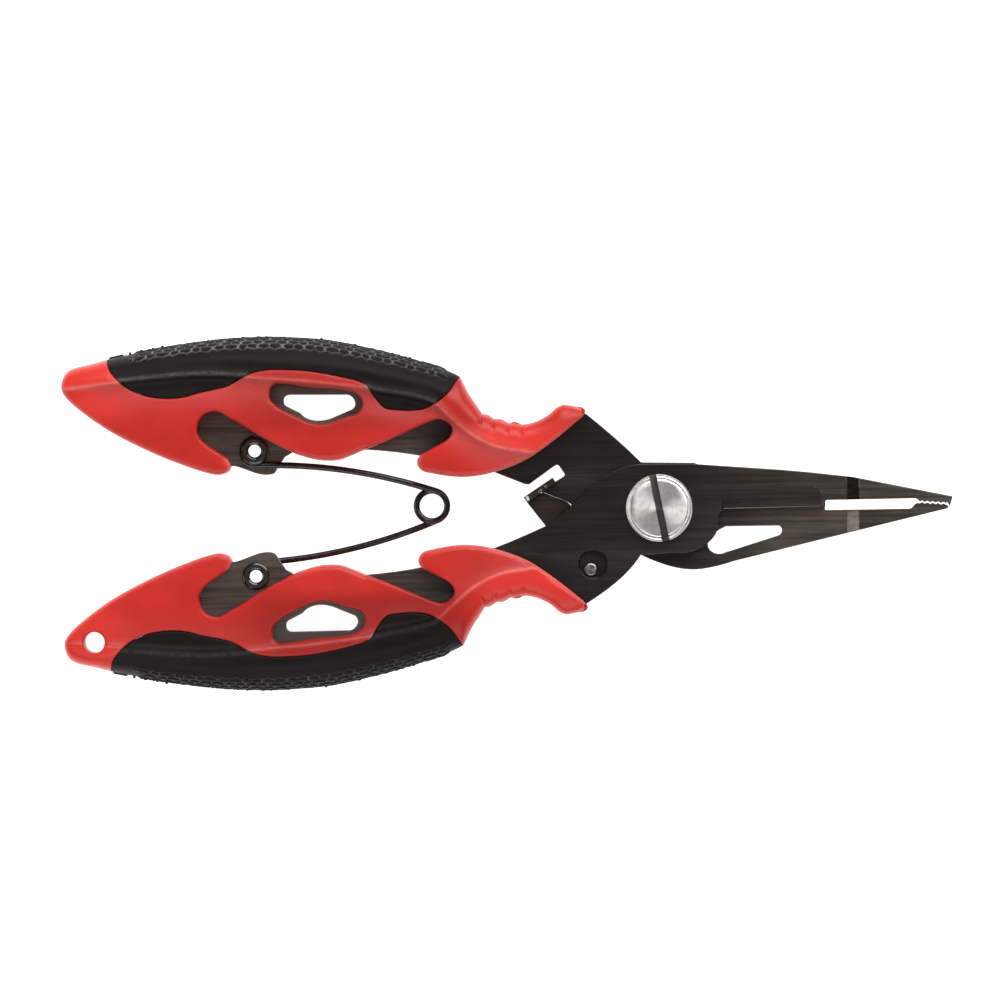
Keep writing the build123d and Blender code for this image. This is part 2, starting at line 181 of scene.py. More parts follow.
outer_edge = trace(
    NOSE, (-29.1, 19.4), (-30.9, 20.1), (-33.7, 20.95), (-38.9, 22.4), (-46.3, 24.0), (-52.0, 24.5),
    (-55.0, 24.6), (-59.0, 24.5), (-63.0, 24.2), (-70.0, 23.3), (-74.0, 22.6), TAIL_CORNER,
)
tail_edge = trace(
    TAIL_CORNER, (-80.0, 21.25), (-82.3, 20.7), (-83.3, 20.1), (-83.8, 19.3), (-84.05, 18.2),
)
grip_line = trace(
    TAIL_CORNER, (-77.3, 20.6), (-76.5, 19.4), (-74.9, 17.9), (-73.4, 17.1), (-71.7, 16.55),
    (-69.3, 16.25), (-66.9, 16.4), (-64.6, 17.0), (-62.2, 17.5), (-60.8, 17.85), (-58.4, 19.1),
    (-56.95, 19.75), (-55.0, 20.1), (-52.7, 20.1), (-49.1, 19.85), (-44.0, 18.85), (-42.0, 18.25),
    (-41.0, 17.5), (-40.0, 16.1), (-39.3, 15.15), (-38.5, 14.5), (-37.1, 14.25), (-35.1, 14.15),
    (-33.2, 14.35), (-31.4, 15.2), (-29.9, 16.4), (-28.7, 18.0), NOSE,
)
window = trace(
    (-54.8, 16.7), (-54.6, 17.6), (-53.9, 18.15), (-52.5, 18.15), (-49.1, 17.65), (-45.4, 17.4),
    (-42.9, 16.8), (-41.85, 15.9), (-41.75, 14.9), (-42.4, 13.9), (-44.3, 13.3), (-46.3, 12.6),
    (-48.0, 12.4), (-49.7, 12.85), (-51.7, 13.85), (-53.6, 14.9), (-54.6, 15.9), (-54.8, 16.7),
)[:-1]
crease = trace(
    (-84.0, 17.7), (-79.0, 18.3), (-74.8, 18.7), (-69.3, 19.2), (-64.6, 19.45), (-60.3, 19.3),
    (-55.0, 18.9), (-50.3, 18.55), (-44.0, 17.8), (-41.3, 17.4), (-39.0, 16.8), (-36.0, 16.3),
    (-33.1, 15.6), (-31.4, 14.9), (-30.1, 13.75), (-28.4, 12.2), (-26.7, 10.85), (-24.6, 9.6),
    (-22.2, 8.75), (-20.0, 8.4), (-17.0, 8.1), (-14.0, 8.9), (-10.0, 11.8),
)
LANYARD_AT = (-79.8, 17.8)
LANYARD_R = 1.5

thumb_line = trace(
    (-10.9, 13.0), (-10.45, 13.7), (-12.0, 14.5), (-13.8, 14.7), (-15.7, 13.4), (-17.6, 12.4),
    (-19.3, 12.05), (-21.25, 12.35), (-23.25, 13.0), (-24.95, 13.8), (-26.0, 15.2), (-27.3, 17.4), NOSE,
)
top_line = np.vstack([tail_edge[::-1], outer_edge[::-1][1:], thumb_line[::-1][1:]])
GROOVE_LONG = 1.1
scallop_grooves = [np.array([(x, y + 0.1), (x - 0.22, y - GROOVE_LONG)]) for x, y in SCALLOP_ENDS]


def along_line(line, x):
    order = np.argsort(line[:, 0], kind="stable")
    return np.interp(x, line[order, 0], line[order, 1])


# How the face changes along X, as (x, value) steps
OUTER_FALL = ((-84, 2.6), (-80, 3.2), (-76, 4.75), (-70, HALF_THICK), (-34, HALF_THICK), (-29, 3.9),
              (-25, 2.6), (-18, 2.3), (-10, 2.6))
OUTER_POWER = ((-84, 1.8), (-76, 2.1), (-70, 2.3), (-36, 2.3), (-29, 2.1), (-24, 2.0))
VALLEY_DEEP = ((-84, 0.15), (-79, 0.7), (-62, 1.15), (-56, 0.75), (-44, 0.75), (-38, 1.2), (-32, 1.0),
               (-26, 0.7), (-18, 0.3), (-12, 0.0))
VALLEY_START = 0.7
VALLEY_WIDE = 3.3
CROWN_HIGH = 0.17                   # a low swelling just outside the crease, where the face is wide enough
CROWN_OFF = 1.3
CROWN_WIDE = 0.8
CROWN_ROOM = 3.5
ROUND_INNER = 0.75
ROUND_BAY = 0.45
ROUND_WINDOW = 0.4
ROUND_SEAM = 0.22
ROUND_RIM = 0.45
LEAN_DEEP = 0.5                     # the faces lean down this much towards the inner edges
LEAN_WIDE = 6.0
GROOVE_DEEP = 0.28
GROOVE_WIDE = 0.17


def rise(x, start, end):
    """0 before the start, 1 past the end, and straight between them."""
    return np.clip((x - start) / (end - start), 0, 1)


def smooth(u):
    """Eases both ends of a value that runs from 0 to 1."""
    return u * u * (3 - 2 * u)


def bell(x, width):
    """1 at zero, falling away over a width on both sides."""
    return np.exp(-(x / width) ** 2)


def at_steps(x, steps):
    """A value at X, straight between (x, value) steps."""
    places, values = zip(*steps)
    return np.interp(x, places, values)


def outer_drop(points):
    """How far the face has fallen on the outer side of the crease."""
    x, y = points[:, 0], points[:, 1]
    ridge = along_line(crease, x)
    width = np.maximum(along_line(top_line, x) - ridge, 0.3)
    u = np.clip((y - ridge) / width, 0, 1)
    crown = CROWN_HIGH * bell(y - ridge - CROWN_OFF, CROWN_WIDE) * (y > ridge) * (width > CROWN_ROOM)
    return at_steps(x, OUTER_FALL) * (1 - np.sqrt(np.maximum(1 - u ** at_steps(x, OUTER_POWER), 0))) + crown


def inner_valley(points):
    """The shallow valley that runs along the inner side of the crease."""
    x, y = points[:, 0], points[:, 1]
    below = np.maximum(along_line(crease, x) - y, 0)
    return at_steps(x, VALLEY_DEEP) * (1 - np.exp(-below / VALLEY_START)) * bell(below, VALLEY_WIDE)


def rounding(gap, radius):
    """How far an edge rounded to a radius has fallen at a distance from it."""
    inward = np.clip(radius - gap, 0, radius)
    return radius - np.sqrt(np.maximum(radius ** 2 - inward ** 2, 0))


def nearest_of(points, lines):
    """The distance of each point from the nearest of several polylines."""
    return np.min([distance_to(points, line) for line in lines], axis=0)


def face_height(points, rims=()):
    """Half of the handle's thickness at each point of its face."""
    height = HALF_THICK - outer_drop(points) - inner_valley(points)
    inner = nearest_of(points, (inner_edge, hump_edge, throat_edge))
    height -= LEAN_DEEP * np.clip(1 - inner / LEAN_WIDE, 0, 1) ** 2
    for line, radius in ((inner_edge, ROUND_INNER), (hump_edge, ROUND_INNER), (throat_edge, ROUND_INNER),
                         (eyelet_bay, ROUND_BAY), (throat_bay, ROUND_BAY)):
        height -= rounding(distance_to(points, line), radius)
    height -= rounding(distance_to(points, window, closed=True), ROUND_WINDOW)
    for groove in scallop_grooves:
        height -= GROOVE_DEEP * bell(distance_to(points, groove), GROOVE_WIDE)
    for rim in rims:
        height -= rounding(distance_to(points, rim, closed=True), ROUND_RIM)
    return height


# Mesh helpers ---------------------------------------------------------------------------------------

WELD = 1e-6


def add_object(name, points, faces, weld=True):
    """A new object from drawing-space points. Unwelded, its points keep their order."""
    mesh = bpy.data.meshes.new(name)
    mesh.from_pydata([tuple(p) for p in metres(points)], [], [tuple(int(i) for i in face) for face in faces])
    obj = bpy.data.objects.new(name, mesh)
    bpy.context.scene.collection.objects.link(obj)
    shape = bmesh.new()
    if weld:
        mesh.validate()
    shape.from_mesh(mesh)
    if weld:
        bmesh.ops.remove_doubles(shape, verts=shape.verts, dist=WELD)
    bmesh.ops.recalc_face_normals(shape, faces=shape.faces)
    shape.to_mesh(mesh)
    shape.free()
    return obj


def swept(name, rings):
    """A closed piece through rings of equal count, with a flat face at each end."""
    rings = np.asarray(rings)
    length, count = rings.shape[:2]
    faces = []
    for i in range(length - 1):
        for k in range(count):
            m = (k + 1) % count
            faces.append((i * count + k, i * count + m, (i + 1) * count + m, (i + 1) * count + k))
    faces.append(tuple(range(count)))
    faces.append(tuple((length - 1) * count + k for k in reversed(range(count))))
    return add_object(name, rings.reshape(-1, 3), faces, weld=False)


def evaluated(obj):
    """The object's mesh with its modifiers applied, and the modifiers taken off."""
    bpy.context.view_layer.update()
    mesh = bpy.data.meshes.new_from_object(obj.evaluated_get(bpy.context.evaluated_depsgraph_get()))
    obj.modifiers.clear()
    return mesh


def sharpen(obj, degrees):
    """Keeps edges steeper than an angle sharp, and shades the rest smooth."""
    obj.data.shade_smooth()
    obj.data.set_sharp_from_angle(angle=math.radians(degrees))


def paint(obj, name, values):
    """A per-point value that the materials read."""
    layer = obj.data.attributes.new(name, "FLOAT", "POINT")
    layer.data.foreach_set("value", np.asarray(values, np.float32))


def drawing_points(obj):
    """An object's points in drawing millimetres."""
    flat = np.zeros(len(obj.data.vertices) * 3)
    obj.data.vertices.foreach_get("co", flat)
    return (flat.reshape(-1, 3) - np.array(origin)) / MM


def drawing_heights(node):
    """The lowest and highest Z of a CAD node, in drawing millimetres."""
    low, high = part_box(node)
    return (low.z - origin.z) / MM, (high.z - origin.z) / MM


def finish_piece(obj, body, material, node):
    """Hands a piece to the frame: its body, and the CAD node it stands for."""
    obj.data.materials.clear()
    obj.data.materials.append(material)
    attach(obj, body)
    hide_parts(node)


def lathe(name, profile, centre, segments):
    """A turned piece: a closed profile of (radius, height) points spun about a Z axis."""
    points = []
    for angle in np.linspace(0, 2 * math.pi, segments, endpoint=False):
        for radius, high in profile:
            points.append((centre[0] + radius * math.cos(angle), centre[1] + radius * math.sin(angle), high))
    count = len(profile)
    faces = []
    for i in range(segments):
        j = (i + 1) % segments
        for k in range(count):
            m = (k + 1) % count
            faces.append((i * count + k, j * count + k, j * count + m, i * count + m))
    return add_object(name, points, faces)


# Materials ------------------------------------------------------------------------------------------

class Nodes:
    """A short way to write a node material. A colour may be given as a grey number."""

    OUTPUTS = {"ShaderNodeMix": 2, "ShaderNodeAttribute": "Fac"}    # others give their first output

    def __init__(self, name):
        self.material = bpy.data.materials.new(name)
        self.material.use_nodes = True
        self.tree = self.material.node_tree
        self.shader = self.tree.nodes["Principled BSDF"]

    def add(self, kind, **settings):
        node = self.tree.nodes.new(kind)
        for key, value in settings.items():
            setattr(node, key, value)
        return node

    def link(self, source, target, socket, output=None):
        if output is None:
            output = self.OUTPUTS.get(source.bl_idname, 0)
        self.tree.links.new(source.outputs[output], target.inputs[socket])

    def set(self, **values):
        for key, value in values.items():
            self.shader.inputs[key.replace("_", " ")].default_value = value

    def colour(self, source):
        self.link(source, self.shader, "Base Color")

    def attribute(self, name):
        return self.add("ShaderNodeAttribute", attribute_name=name)

    def position(self, scale=(1.0, 1.0, 1.0)):
        """Object-space coordinates in millimetres, stretched by a scale."""
        mapping = self.add("ShaderNodeMapping")
        mapping.inputs["Scale"].default_value = [s / MM for s in scale]
        self.link(self.add("ShaderNodeTexCoord"), mapping, "Vector", "Object")
        return mapping

    def noise(self, scale, detail=4.0, roughness=0.55):
        noise = self.add("ShaderNodeTexNoise")
        noise.inputs["Scale"].default_value = 1.0
        noise.inputs["Detail"].default_value = detail
        noise.inputs["Roughness"].default_value = roughness
        self.link(self.position(scale), noise, "Vector")
        return noise

    def ramp(self, source, *stops):
        ramp = self.add("ShaderNodeValToRGB")
        for element, (place, colour) in zip(ramp.color_ramp.elements, stops):
            element.position = place
            element.color = (*colour, 1.0) if isinstance(colour, tuple) else (colour, colour, colour, 1.0)
        self.link(source, ramp, "Fac")
        return ramp

    def rough(self, source, *stops):
        self.link(self.ramp(source, *stops), self.shader, "Roughness")

    def bump(self, source, strength, distance):
        bump = self.add("ShaderNodeBump")
        bump.inputs["Strength"].default_value = strength
        bump.inputs["Distance"].default_value = distance * MM
        self.link(source, bump, "Height")
        self.link(bump, self.shader, "Normal")

    def math(self, operation, first, second):
        node = self.add("ShaderNodeMath", operation=operation)
        self.link(first, node, 0)
        if isinstance(second, float):
            node.inputs[1].default_value = second
        else:
            self.link(second, node, 1)
        return node

    def ease(self, source, output, start, end, low=0.0, high=1.0):
        """A smooth step from a low value at the start to a high one at the end."""
        step = self.add("ShaderNodeMapRange", interpolation_type="SMOOTHSTEP")
        for socket, value in (("From Min", start), ("From Max", end), ("To Min", low), ("To Max", high)):
            step.inputs[socket].default_value = value
        self.link(source, step, "Value", output)
        return step

    def mix(self, first, second, factor, blend="MIX"):
        mix = self.add("ShaderNodeMix", data_type="RGBA", blend_type=blend)
        for socket, value in ((6, first), (7, second), (0, factor)):
            if isinstance(value, bpy.types.Node):
                self.link(value, mix, socket)
            else:
                mix.inputs[socket].default_value = (*value, 1.0) if isinstance(value, tuple) else value
        return mix


JAWS_WARM = (1.0, 19.0)             # the steel grows warmer between these X
BACK_WARM = (-28.0, -38.0)          # and again behind the handles' throat


def steel_material(name, dark, light, warm, glints=()):
    """Dark plated steel, brushed along the tool, warmer towards the jaws, darkened by painted shade and
    lightened by painted highlights that the pieces carry on their points, with a painted glint at each
    listed spot.
    """
    n = Nodes(name)
    fine = n.noise((0.10, 7.5, 7.5), detail=5.0, roughness=0.7)
    where = n.position()
    split = n.add("ShaderNodeSeparateXYZ")
    n.link(where, split, "Vector")
    middle = origin.x / MM
    jaws = n.ease(split, "X", middle + JAWS_WARM[0], middle + JAWS_WARM[1], low=0.12)
    back = n.ease(split, "X", middle + BACK_WARM[0], middle + BACK_WARM[1], high=1.4)
    patches = n.ramp(n.noise((0.06, 1.6, 1.6)), (0.35, 0.25), (0.7, 1.0))
    warmth = n.math("MULTIPLY", n.math("MAXIMUM", jaws, back), patches)
    warmth.use_clamp = True
    colour = n.mix(n.ramp(fine, (0.32, dark), (0.7, light)), warm, warmth)
    # painted shade where the points carry shade, then a painted highlight where they are painted lighter
    colour = n.mix(colour, (0.012, 0.011, 0.010), n.attribute("shade"))
    colour = n.mix(colour, (0.30, 0.27, 0.25), n.attribute("painted_highlight"))
    # a painted glint at each listed spot
    for x, y, z, radius, glint_strength in glints:
        away = n.add("ShaderNodeVectorMath", operation="DISTANCE")
        n.link(where, away, 0)
        away.inputs[1].default_value = metres((x, y, z)) / MM
        colour = n.mix(colour, (0.75, 0.72, 0.68), n.ease(away, "Value", radius, radius * 0.5, high=glint_strength))
    n.colour(colour)
    n.rough(n.noise((0.2, 0.6, 0.6)), (0.3, 0.36), (0.75, 0.50))
    n.bump(fine, 0.3, 0.02)
    n.set(Metallic=1.0, Anisotropic=0.4)
    return n.material


def bright_material():
    """Turned stainless, with rings about the pivot left by the tool."""
    n = Nodes("bright_steel")
    middle = n.add("ShaderNodeVectorMath", operation="SUBTRACT")
    centre = metres((*PIVOT_AT, 0)) / MM
    middle.inputs[1].default_value = (centre[0], centre[1], 0)
    n.link(n.position(), middle, 0)
    split = n.add("ShaderNodeSeparateXYZ")
    n.link(middle, split, "Vector")
    flat = n.add("ShaderNodeCombineXYZ")
    n.link(split, flat, "X", "X")
    n.link(split, flat, "Y", "Y")
    radius = n.add("ShaderNodeVectorMath", operation="LENGTH")
    n.link(flat, radius, 0)
    rings = n.add("ShaderNodeTexNoise", noise_dimensions="1D")
    rings.inputs["Scale"].default_value = 9.0
    rings.inputs["Detail"].default_value = 4.0
    n.link(radius, rings, "W", "Value")
    spots = n.noise((1.4, 1.4, 1.4), detail=5.0)
    base = n.ramp(rings, (0.3, (0.76, 0.73, 0.71)), (0.7, (0.90, 0.87, 0.85)))
    stained = n.ramp(spots, (0.35, (0.86, 0.84, 0.82)), (0.55, 1.0))
    colour = n.mix(base, stained, 1.0, blend="MULTIPLY")
    n.colour(n.mix(colour, (0.13, 0.12, 0.11), n.attribute("shade")))
    n.rough(spots, (0.3, 0.30), (0.8, 0.36))
    n.bump(rings, 0.3, 0.012)
    n.set(Metallic=1.0, Anisotropic=0.85)
    n.link(n.add("ShaderNodeTangent", direction_type="RADIAL", axis="Z"), n.shader, "Tangent")
    return n.material


def red_material():
    """Moulded hard plastic: a spark grain inside the crease under a painted pink sheen, smoother outside it,
    with a painted highlight along the edges and the crease and painted shade in the middle.
    """
    n = Nodes("red_plastic")
    grain = n.noise((8.0, 8.0, 8.0), detail=3.0, roughness=0.6)
    scuff = n.noise((0.9, 2.2, 2.2), detail=6.0, roughness=0.7)
    satin_and_sheen = n.attribute("satin_and_sheen")
    cloud = n.noise((0.16, 0.22, 0.22), detail=3.0)
    inner = n.ramp(cloud, (0.3, (0.47, 0.020, 0.014)), (0.75, (0.57, 0.027, 0.019)))
    # painted pink sheen over the grain
    painted_sheen = n.ramp(grain, (0.38, (0.44, 0.046, 0.042)), (0.68, (0.54, 0.095, 0.090)))
    # painted highlight along the edges and the crease, broken up by scuff noise
    painted_highlight = n.math("MULTIPLY", n.attribute("rim"), n.ramp(scuff, (0.25, 0.35), (0.7, 1.0)))
    painted_highlight.use_clamp = True
    colour = n.mix(inner, (0.67, 0.035, 0.024), n.attribute("beyond"))
    # the satin points carry both the grain's roughness and the painted sheen
    colour = n.mix(colour, painted_sheen, n.math("MULTIPLY", satin_and_sheen, 0.7))
    colour = n.mix(colour, (0.84, 0.20, 0.17), painted_highlight)
    # painted shade in the middle of each handle
    n.colour(n.mix(colour, (0.20, 0.008, 0.006), n.attribute("painted_shade")))
    gloss = n.ramp(scuff, (0.3, 0.30), (0.75, 0.40))
    matt = n.ramp(scuff, (0.3, 0.46), (0.75, 0.58))
    n.link(n.mix(gloss, matt, satin_and_sheen), n.shader, "Roughness")
    n.bump(grain, 0.3, 0.02)
    n.set(Specular_IOR_Level=0.22)
    n.set(Subsurface_Weight=0.08, Subsurface_Scale=0.002, Subsurface_Radius=(1.0, 0.25, 0.15))
    return n.material


def rubber_material():
    """Black rubber: matt, with dust held in the joints between the scales, a painted highlight along the
    crease, and painted shade.
    """
    n = Nodes("black_rubber")
    cloud = n.noise((0.3, 0.5, 0.5))
    base = n.ramp(cloud, (0.3, (0.0088, 0.0067, 0.0064)), (0.75, (0.0128, 0.0103, 0.0099)))
    spread = n.ramp(n.noise((1.5, 1.5, 1.5)), (0.3, 0.35), (0.6, 1.0))
    colour = n.mix(base, (0.27, 0.265, 0.25), n.math("MULTIPLY", n.attribute("dust_and_crease_highlight"), spread))
    n.colour(n.mix(colour, (0.003, 0.003, 0.003), n.attribute("shade")))
    n.rough(cloud, (0.3, 0.42), (0.75, 0.52))
    n.bump(n.noise((7.0, 7.0, 7.0), detail=3.0), 0.2, 0.02)
    n.set(Specular_IOR_Level=0.08)
    return n.material


def wire_material():
    """Black oxide on drawn wire: faint lines along it and a soft gloss."""
    n = Nodes("spring_wire")
    blot = n.noise((1.6, 1.6, 1.6))
    n.colour(n.ramp(blot, (0.35, (0.012, 0.012, 0.013)), (0.7, (0.035, 0.033, 0.031))))
    n.rough(blot, (0.3, 0.22), (0.8, 0.36))
    n.bump(n.noise((0.5, 12.0, 12.0)), 0.2, 0.015)
    n.set(Metallic=0.85, Coat_Weight=0.35, Coat_Roughness=0.18)
    return n.material


def lacquer_material():
    """Glossy black lacquer on the eyelets, with a little orange peel."""
    n = Nodes("eyelet_lacquer")
    peel = n.noise((2.2, 2.2, 2.2), detail=3.0)
    n.colour(n.ramp(n.noise((0.8, 0.8, 0.8), detail=3.0), (0.3, 0.004), (0.75, 0.012)))
    n.rough(peel, (0.3, 0.12), (0.8, 0.24))
    n.bump(peel, 0.15, 0.03)
    n.set(Metallic=0.0, Coat_Weight=0.6, Coat_Roughness=0.08)
    return n.material


# Handles --------------------------------------------------------------------------------------------

RING_STEPS = (0.05, 0.16, 0.32, 0.55, 0.85, 1.15)
GRID = 0.45
GRID_ROW = 0.866                    # rows of an even triangular grid, for each step along it
CREASE_ROWS = (-0.4, -0.16, 0.0, 0.16, 0.4)
CREASE_ROOM = 0.6
GROOVE_ROWS = (-0.3, -0.15, 0.0, 0.15, 0.3)
GROOVE_STEP = 0.14
GROOVE_ROOM = 0.4
LEAST_HALF = 0.4                    # no face comes nearer than this to the handle's middle
SHELL_SHARP = 62


def inward_ring(ring, gap):
    """Points a distance inside a closed ring that runs anticlockwise."""
    ahead = np.roll(ring, -1, axis=0) - np.roll(ring, 1, axis=0)
    ahead /= np.maximum(np.linalg.norm(ahead, axis=1), 1e-9)[:, None]
    return ring + gap * np.column_stack([-ahead[:, 1], ahead[:, 0]])


def area_of(ring):
    after = np.roll(ring, -1, axis=0)
    return 0.5 * np.sum(ring[:, 0] * after[:, 1] - after[:, 0] * ring[:, 1])


def within(points, rings):
    """Which points lie inside the first ring and outside the others."""
    good = inside(points, rings[0])
    for hole in rings[1:]:
        good &= ~inside(points, hole)
    return good


def scattered(rings):
    """Points that carry the face's shape: rows beside every edge, the crease, and an even grid between."""

    def kept(points, room):
        points = points[within(points, rings)]
        nearest = np.min([distance_to(points, ring, closed=True) for ring in rings], axis=0)
        return points[nearest > room]

    clouds = [kept(inward_ring(ring, step), step * 0.9) for step in RING_STEPS for ring in rings]
    along = np.gradient(crease, axis=0)
    along /= np.linalg.norm(along, axis=1)[:, None]
    across = np.column_stack([-along[:, 1], along[:, 0]])
    clouds += [kept(crease + side * across, 0.15) for side in CREASE_ROWS]
    (left, bottom), (right, top) = rings[0].min(axis=0), rings[0].max(axis=0)
    rows = np.arange(bottom, top, GRID * GRID_ROW)
    grid = np.array([(x + (GRID / 2 if row % 2 else 0), y)
                     for row, y in enumerate(rows) for x in np.arange(left, right, GRID)])
    grid = kept(grid, RING_STEPS[-1] + 0.25)
    cloud = np.vstack(clouds + [grid[distance_to(grid, crease) > CREASE_ROOM]])
    beside = []
    for start, end in scallop_grooves:
        along = (end - start) / np.linalg.norm(end - start)
        across = np.array((-along[1], along[0]))
        for step in np.arange(0.15, GROOVE_LONG + 0.3, GROOVE_STEP):
            beside += [start + step * along + side * across for side in GROOVE_ROWS]
        cloud = cloud[distance_to(cloud, (start, end)) > GROOVE_ROOM]
    return np.vstack([cloud, kept(np.array(beside), 0.06)])


def plate_of_plastic(name, outline, holes, height_of, lower):
    """A closed shell: two matching faces, front and back, joined by walls round every edge."""
    rings = [outline if area_of(outline) > 0 else outline[::-1]]
    rings += [hole[::-1] if area_of(hole) > 0 else hole for hole in holes]
    points = np.vstack(rings + [scattered(rings)])
    edges = []
    begin = 0
    for ring in rings:
        count = len(ring)
        edges += [(begin + i, begin + (i + 1) % count) for i in range(count)]
        begin += count
    found, _, made_faces, *_ = delaunay_2d_cdt([Vector(p) for p in points], edges, [], 0, 1e-7)
    flat = np.array([(v.x, v.y) for v in found])
    middles = np.array([flat[list(face)].mean(axis=0) for face in made_faces])
    triangles = [tuple(face) for face, keep in zip(made_faces, within(middles, rings)) if keep]
    high = height_of(flat)
    turned = np.column_stack([flat[:, 0], -flat[:, 1]]) if lower else flat
    count = len(flat)
    all_points = np.vstack([np.column_stack([turned, high]), np.column_stack([turned, -high])])
    faces = triangles + [tuple(reversed([i + count for i in face])) for face in triangles]
    seen = {}
    for face in triangles:
        for a, b in zip(face, face[1:] + face[:1]):
            seen[frozenset((a, b))] = seen.get(frozenset((a, b)), 0) + 1
    for pair, times in seen.items():
        if times == 1:
            a, b = pair
            faces.append((a, b, b + count, a + count))
    return add_object(name, all_points, faces)


def paint_shell(obj, lower):
    """Where the plastic gets a painted highlight along its edges and crease, its satin grain and painted
    sheen, a brighter red beyond the crease, and painted shade in the middle.
    """
    points = drawing_points(obj)[:, :2] * ((1, -1) if lower else (1, 1))
    x, y = points.T
    gap = nearest_of(points, (inner_edge, hump_edge, throat_edge, thumb_edge(), tail_edge))
    dull = 0.3 * rise(x, -60, -64) if lower else 0.0
    # painted highlight along the edges and the crease, weaker on the lower handle's tail crease
    paint(obj, "rim", bell(np.minimum(gap, distance_to(points, crease) * 1.3 + 0.05 + dull), 0.35))
    below = along_line(crease, x) - y
    # satin grain inside the crease, which also carries the painted sheen; the lower handle gets less of the
    # painted sheen
    satin_and_sheen = rise(below, 0.05, 0.35) * bell(np.maximum(below, 0), 3.4) * rise(x, -82, -75)
    paint(obj, "satin_and_sheen", satin_and_sheen * (0.45 if lower else 1.0))
    ends = np.maximum(rise(x, -60, -68), rise(x, -28, -24))
    tail = np.exp(-((x + 79) / 5) ** 2 - ((y - 15.5) / 2.6) ** 2)
    paint(obj, "beyond", np.maximum(rise(-below, 0, 0.3) * ends, tail))
    # painted shade over the window and the throat, stronger on the lower handle and fading at its nose
    deep = 0.55 * (1 - 0.75 * rise(x, -30, -26)) if lower else 0.33
    paint(obj, "painted_shade", rise(x, -62, -54) * rise(y, 10.5, 12.5) * deep)


def build_shell(name, body, node, lower, material):
    rims = [circle(LANYARD_AT, LANYARD_R, 40)] if lower else []
    lines = (inner_edge, eyelet_bay, hump_edge, throat_bay, throat_edge, thumb_edge(), grip_line[::-1],
             tail_edge)
    outline = np.vstack([line[:-1] for line in lines])

    def height(points):
        fall = rounding(distance_to(points, grip_line), ROUND_SEAM)
        return np.maximum(face_height(points, rims) - fall, LEAST_HALF)

    obj = plate_of_plastic(name, outline, [window] + rims, height, lower)
    paint_shell(obj, lower)
    sharpen(obj, SHELL_SHARP)
    finish_piece(obj, body, material, node)


# Rubber grips: sections across the handle, with scales along the outer edge ---------------------------

SCALE_LONG = 1.6
SCALE_TALL = 0.98
SCALE_HIGH = 0.38
SCALE_SQUASH = 1.25                 # above 1, a scale is wider for its height
SCALE_SHIFT = 0.24
SCALE_EDGE = 0.24                   # how far in from a joint a scale reaches its full height
SCALE_DUST = 0.13
SCALE_UNDER = 0.2                   # how far in from the joint the painted shadow on each scale's lower side is darkest
PAD_REACH = 4.7 * SCALE_TALL        # how far the scales come up each face from the outer edge
PAD_FADE = 1.3
PAD_START = -74.6
PAD_END = -29.6
PARTING_HALF = 0.35                 # a plain strip follows the mould's parting line, darkened with painted shade
FLASH_WIDE = 0.3
FLASH_LIPS = ((-77.3, -75.3, 0.3), (-74.5, -74.2, 0.42))
FAR = 9.0
SECTION_PAD = 64
SECTION_FACE = 22
SECTION_STEP = 0.1
SECTION_FINE = 160
SEAM_GAP = 0.04
# a painted highlight along the crease, on the rubber
CREASE_HIGHLIGHT = 0.28
GRIP_SHARP = 70


def hashed(a, b):
    """A repeatable random value from two whole numbers."""
    value = np.sin(a * 127.1 + b * 311.7) * 43758.5453
    return value - np.floor(value)


def scale_relief(along, up, x):
    """The scales' height, the dust in the joints between them, and painted shade: the shadow under each
    one's lip and along the parting strip.
    """
    nearest = np.full_like(up, FAR)
    second = np.full_like(up, FAR)
    out = np.zeros_like(up)
    start = np.zeros_like(up)
    level = up / SCALE_TALL
    for step in (-1, 0, 1):
        row = np.floor(level) + step
        wander = 0.13 * np.sin(along * 1.9 + row * 2.1) + 0.1 * np.sin(along * 0.77 + row * 5.3)
        place = along / SCALE_LONG + (row % 2) * 0.5 + wander
        for side in (-1, 0, 1):
            column = np.floor(place) + side
            high = level - row - 0.5 + SCALE_SHIFT * (hashed(column + 5.0, row) - 0.5)
            away = np.hypot((place - column - 0.5) * SCALE_LONG, high * SCALE_TALL * SCALE_SQUASH)
            closer = away < nearest
            second = np.where(closer, nearest, np.minimum(second, away))
            nearest = np.where(closer, away, nearest)
            out = np.where(closer, high, out)
            start = np.where(closer, PAD_START + 1.1 * hashed(column + 3.0, row), start)
    border = (second - nearest) / 2
    dome = smooth(rise(border, 0, SCALE_EDGE)) * (0.72 + 0.45 * np.clip(out, -0.6, 0.6))
    fade = smooth(rise(up, PAD_REACH, PAD_REACH - PAD_FADE))
    fade *= rise(x, start, start + 0.6) * rise(x, PAD_END, PAD_END - 0.8)
    strip = rise(up, PARTING_HALF, PARTING_HALF - 0.1)
    dust = fade ** 1.3 * 0.95 * bell(border, SCALE_DUST) * (1 - strip)
    under = bell(border - SCALE_UNDER, 0.09) * rise(out, 0, 0.25)
    return fade * SCALE_HIGH * dome, dust, np.maximum(0.75 * fade * under, strip)


def flash_relief(up, x):
    """The torn moulding flash along the parting line at the middle of the outer edge."""
    ripple = 0.5 + 0.5 * math.sin(x * 5.3 + 2.0 * math.sin(x * 1.7))
    high = 0.05 + 0.12 * ripple * hashed(np.floor(x * 2.2), 4.0)
    for start, end, lip in FLASH_LIPS:
        if start < x < end:
            high = lip
    shown = rise(x, TAIL_CORNER[0] + 0.1, TAIL_CORNER[0] + 0.4) * rise(x, NOSE[0] - 0.4, NOSE[0] - 0.9)
    return shown * high * bell(up, FLASH_WIDE)


